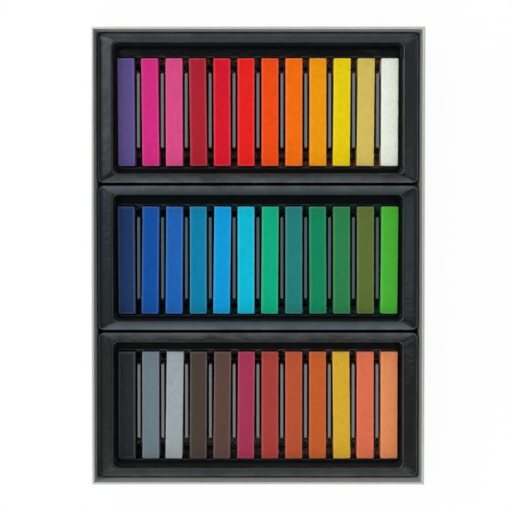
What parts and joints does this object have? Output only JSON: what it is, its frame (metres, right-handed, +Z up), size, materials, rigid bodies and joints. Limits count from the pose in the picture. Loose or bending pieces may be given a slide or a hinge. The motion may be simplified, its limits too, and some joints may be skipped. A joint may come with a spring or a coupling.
{
  "type": "pastel drawer box",
  "caption": "Open paper-covered board drawer with lift-out black formed trays that hold rows of square pastel sticks, each stick a separate lift-out piece.",
  "frame": {"origin": "centre of the drawer's underside", "axes": "+Z up out of the open drawer, +Y along the drawer and along each stick, +X along each row"},
  "size_m": [0.1934, 0.2662, 0.0265],
  "materials": {
    "grey_board": "matte",
    "pearl_paper": "satin",
    "black_paper": "matte",
    "kraft_tape": "matte",
    "black_tray": "satin",
    "violet_pastel": "matte",
    "magenta_pastel": "matte",
    "pink_pastel": "matte",
    "crimson_pastel": "matte",
    "red_pastel": "matte",
    "bright_red_pastel": "matte",
    "red_orange_pastel": "matte",
    "orange_pastel": "matte",
    "amber_pastel": "matte",
    "yellow_pastel": "matte",
    "tan_pastel": "matte",
    "off_white_pastel": "matte",
    "navy_pastel": "matte",
    "blue_pastel": "matte",
    "mid_blue_pastel": "matte",
    "teal_blue_pastel": "matte",
    "azure_pastel": "matte",
    "cyan_pastel": "matte",
    "turquoise_pastel": "matte",
    "deep_teal_pastel": "matte",
    "emerald_pastel": "matte",
    "mid_green_pastel": "matte",
    "olive_pastel": "matte",
    "bright_green_pastel": "matte",
    "charcoal_pastel": "matte",
    "slate_pastel": "matte",
    "light_grey_pastel": "matte",
    "dark_brown_pastel": "matte",
    "brown_pastel": "matte",
    "raspberry_pastel": "matte",
    "brick_red_pastel": "matte",
    "rust_pastel": "matte",
    "orange_brown_pastel": "matte",
    "mustard_pastel": "matte",
    "salmon_pastel": "matte",
    "peach_pastel": "matte"
  },
  "bodies": {
    "drawer": {"base_board": "grey_board", "left_wall_board": "grey_board", "right_wall_board": "grey_board", "front_wall_board": "grey_board", "back_wall_board": "grey_board", "wall_wrap": "pearl_paper", "bottom_sheet": "pearl_paper", "base_lining": "black_paper", "corner_stays": "kraft_tape"},
    "warm_tray": {"warm_tray": "black_tray"},
    "violet_stick": {"violet_stick": "violet_pastel"},
    "magenta_stick": {"magenta_stick": "magenta_pastel"},
    "pink_stick": {"pink_stick": "pink_pastel"},
    "crimson_stick": {"crimson_stick": "crimson_pastel"},
    "red_stick": {"red_stick": "red_pastel"},
    "bright_red_stick": {"bright_red_stick": "bright_red_pastel"},
    "red_orange_stick": {"red_orange_stick": "red_orange_pastel"},
    "orange_stick": {"orange_stick": "orange_pastel"},
    "amber_stick": {"amber_stick": "amber_pastel"},
    "yellow_stick": {"yellow_stick": "yellow_pastel"},
    "tan_stick": {"tan_stick": "tan_pastel"},
    "off_white_stick": {"off_white_stick": "off_white_pastel"},
    "cool_tray": {"cool_tray": "black_tray"},
    "navy_stick": {"navy_stick": "navy_pastel"},
    "blue_stick": {"blue_stick": "blue_pastel"},
    "mid_blue_stick": {"mid_blue_stick": "mid_blue_pastel"},
    "teal_blue_stick": {"teal_blue_stick": "teal_blue_pastel"},
    "azure_stick": {"azure_stick": "azure_pastel"},
    "cyan_stick": {"cyan_stick": "cyan_pastel"},
    "turquoise_stick": {"turquoise_stick": "turquoise_pastel"},
    "deep_teal_stick": {"deep_teal_stick": "deep_teal_pastel"},
    "emerald_stick": {"emerald_stick": "emerald_pastel"},
    "mid_green_stick": {"mid_green_stick": "mid_green_pastel"},
    "olive_stick": {"olive_stick": "olive_pastel"},
    "bright_green_stick": {"bright_green_stick": "bright_green_pastel"},
    "earth_tray": {"earth_tray": "black_tray"},
    "charcoal_stick": {"charcoal_stick": "charcoal_pastel"},
    "slate_stick": {"slate_stick": "slate_pastel"},
    "light_grey_stick": {"light_grey_stick": "light_grey_pastel"},
    "dark_brown_stick": {"dark_brown_stick": "dark_brown_pastel"},
    "brown_stick": {"brown_stick": "brown_pastel"},
    "raspberry_stick": {"raspberry_stick": "raspberry_pastel"},
    "brick_red_stick": {"brick_red_stick": "brick_red_pastel"},
    "rust_stick": {"rust_stick": "rust_pastel"},
    "orange_brown_stick": {"orange_brown_stick": "orange_brown_pastel"},
    "mustard_stick": {"mustard_stick": "mustard_pastel"},
    "salmon_stick": {"salmon_stick": "salmon_pastel"},
    "peach_stick": {"peach_stick": "peach_pastel"}
  },
  "joints": [
    {"name": "warm_tray_lift", "type": "slide", "parent": "drawer", "child": "warm_tray", "axis": [0, 0, 1], "range_m": [0, 0.03]},
    {"name": "violet_stick_lift", "type": "slide", "parent": "warm_tray", "child": "violet_stick", "axis": [0, 0, 1], "range_m": [0, 0.025]},
    {"name": "magenta_stick_lift", "type": "slide", "parent": "warm_tray", "child": "magenta_stick", "axis": [0, 0, 1], "range_m": [0, 0.025]},
    {"name": "pink_stick_lift", "type": "slide", "parent": "warm_tray", "child": "pink_stick", "axis": [0, 0, 1], "range_m": [0, 0.025]},
    {"name": "crimson_stick_lift", "type": "slide", "parent": "warm_tray", "child": "crimson_stick", "axis": [0, 0, 1], "range_m": [0, 0.025]},
    {"name": "red_stick_lift", "type": "slide", "parent": "warm_tray", "child": "red_stick", "axis": [0, 0, 1], "range_m": [0, 0.025]},
    {"name": "bright_red_stick_lift", "type": "slide", "parent": "warm_tray", "child": "bright_red_stick", "axis": [0, 0, 1], "range_m": [0, 0.025]},
    {"name": "red_orange_stick_lift", "type": "slide", "parent": "warm_tray", "child": "red_orange_stick", "axis": [0, 0, 1], "range_m": [0, 0.025]},
    {"name": "orange_stick_lift", "type": "slide", "parent": "warm_tray", "child": "orange_stick", "axis": [0, 0, 1], "range_m": [0, 0.025]},
    {"name": "amber_stick_lift", "type": "slide", "parent": "warm_tray", "child": "amber_stick", "axis": [0, 0, 1], "range_m": [0, 0.025]},
    {"name": "yellow_stick_lift", "type": "slide", "parent": "warm_tray", "child": "yellow_stick", "axis": [0, 0, 1], "range_m": [0, 0.025]},
    {"name": "tan_stick_lift", "type": "slide", "parent": "warm_tray", "child": "tan_stick", "axis": [0, 0, 1], "range_m": [0, 0.025]},
    {"name": "off_white_stick_lift", "type": "slide", "parent": "warm_tray", "child": "off_white_stick", "axis": [0, 0, 1], "range_m": [0, 0.025]},
    {"name": "cool_tray_lift", "type": "slide", "parent": "drawer", "child": "cool_tray", "axis": [0, 0, 1], "range_m": [0, 0.03]},
    {"name": "navy_stick_lift", "type": "slide", "parent": "cool_tray", "child": "navy_stick", "axis": [0, 0, 1], "range_m": [0, 0.025]},
    {"name": "blue_stick_lift", "type": "slide", "parent": "cool_tray", "child": "blue_stick", "axis": [0, 0, 1], "range_m": [0, 0.025]},
    {"name": "mid_blue_stick_lift", "type": "slide", "parent": "cool_tray", "child": "mid_blue_stick", "axis": [0, 0, 1], "range_m": [0, 0.025]},
    {"name": "teal_blue_stick_lift", "type": "slide", "parent": "cool_tray", "child": "teal_blue_stick", "axis": [0, 0, 1], "range_m": [0, 0.025]},
    {"name": "azure_stick_lift", "type": "slide", "parent": "cool_tray", "child": "azure_stick", "axis": [0, 0, 1], "range_m": [0, 0.025]},
    {"name": "cyan_stick_lift", "type": "slide", "parent": "cool_tray", "child": "cyan_stick", "axis": [0, 0, 1], "range_m": [0, 0.025]},
    {"name": "turquoise_stick_lift", "type": "slide", "parent": "cool_tray", "child": "turquoise_stick", "axis": [0, 0, 1], "range_m": [0, 0.025]},
    {"name": "deep_teal_stick_lift", "type": "slide", "parent": "cool_tray", "child": "deep_teal_stick", "axis": [0, 0, 1], "range_m": [0, 0.025]},
    {"name": "emerald_stick_lift", "type": "slide", "parent": "cool_tray", "child": "emerald_stick", "axis": [0, 0, 1], "range_m": [0, 0.025]},
    {"name": "mid_green_stick_lift", "type": "slide", "parent": "cool_tray", "child": "mid_green_stick", "axis": [0, 0, 1], "range_m": [0, 0.025]},
    {"name": "olive_stick_lift", "type": "slide", "parent": "cool_tray", "child": "olive_stick", "axis": [0, 0, 1], "range_m": [0, 0.025]},
    {"name": "bright_green_stick_lift", "type": "slide", "parent": "cool_tray", "child": "bright_green_stick", "axis": [0, 0, 1], "range_m": [0, 0.025]},
    {"name": "earth_tray_lift", "type": "slide", "parent": "drawer", "child": "earth_tray", "axis": [0, 0, 1], "range_m": [0, 0.03]},
    {"name": "charcoal_stick_lift", "type": "slide", "parent": "earth_tray", "child": "charcoal_stick", "axis": [0, 0, 1], "range_m": [0, 0.025]},
    {"name": "slate_stick_lift", "type": "slide", "parent": "earth_tray", "child": "slate_stick", "axis": [0, 0, 1], "range_m": [0, 0.025]},
    {"name": "light_grey_stick_lift", "type": "slide", "parent": "earth_tray", "child": "light_grey_stick", "axis": [0, 0, 1], "range_m": [0, 0.025]},
    {"name": "dark_brown_stick_lift", "type": "slide", "parent": "earth_tray", "child": "dark_brown_stick", "axis": [0, 0, 1], "range_m": [0, 0.025]},
    {"name": "brown_stick_lift", "type": "slide", "parent": "earth_tray", "child": "brown_stick", "axis": [0, 0, 1], "range_m": [0, 0.025]},
    {"name": "raspberry_stick_lift", "type": "slide", "parent": "earth_tray", "child": "raspberry_stick", "axis": [0, 0, 1], "range_m": [0, 0.025]},
    {"name": "brick_red_stick_lift", "type": "slide", "parent": "earth_tray", "child": "brick_red_stick", "axis": [0, 0, 1], "range_m": [0, 0.025]},
    {"name": "rust_stick_lift", "type": "slide", "parent": "earth_tray", "child": "rust_stick", "axis": [0, 0, 1], "range_m": [0, 0.025]},
    {"name": "orange_brown_stick_lift", "type": "slide", "parent": "earth_tray", "child": "orange_brown_stick", "axis": [0, 0, 1], "range_m": [0, 0.025]},
    {"name": "mustard_stick_lift", "type": "slide", "parent": "earth_tray", "child": "mustard_stick", "axis": [0, 0, 1], "range_m": [0, 0.025]},
    {"name": "salmon_stick_lift", "type": "slide", "parent": "earth_tray", "child": "salmon_stick", "axis": [0, 0, 1], "range_m": [0, 0.025]},
    {"name": "peach_stick_lift", "type": "slide", "parent": "earth_tray", "child": "peach_stick", "axis": [0, 0, 1], "range_m": [0, 0.025]}
  ]
}
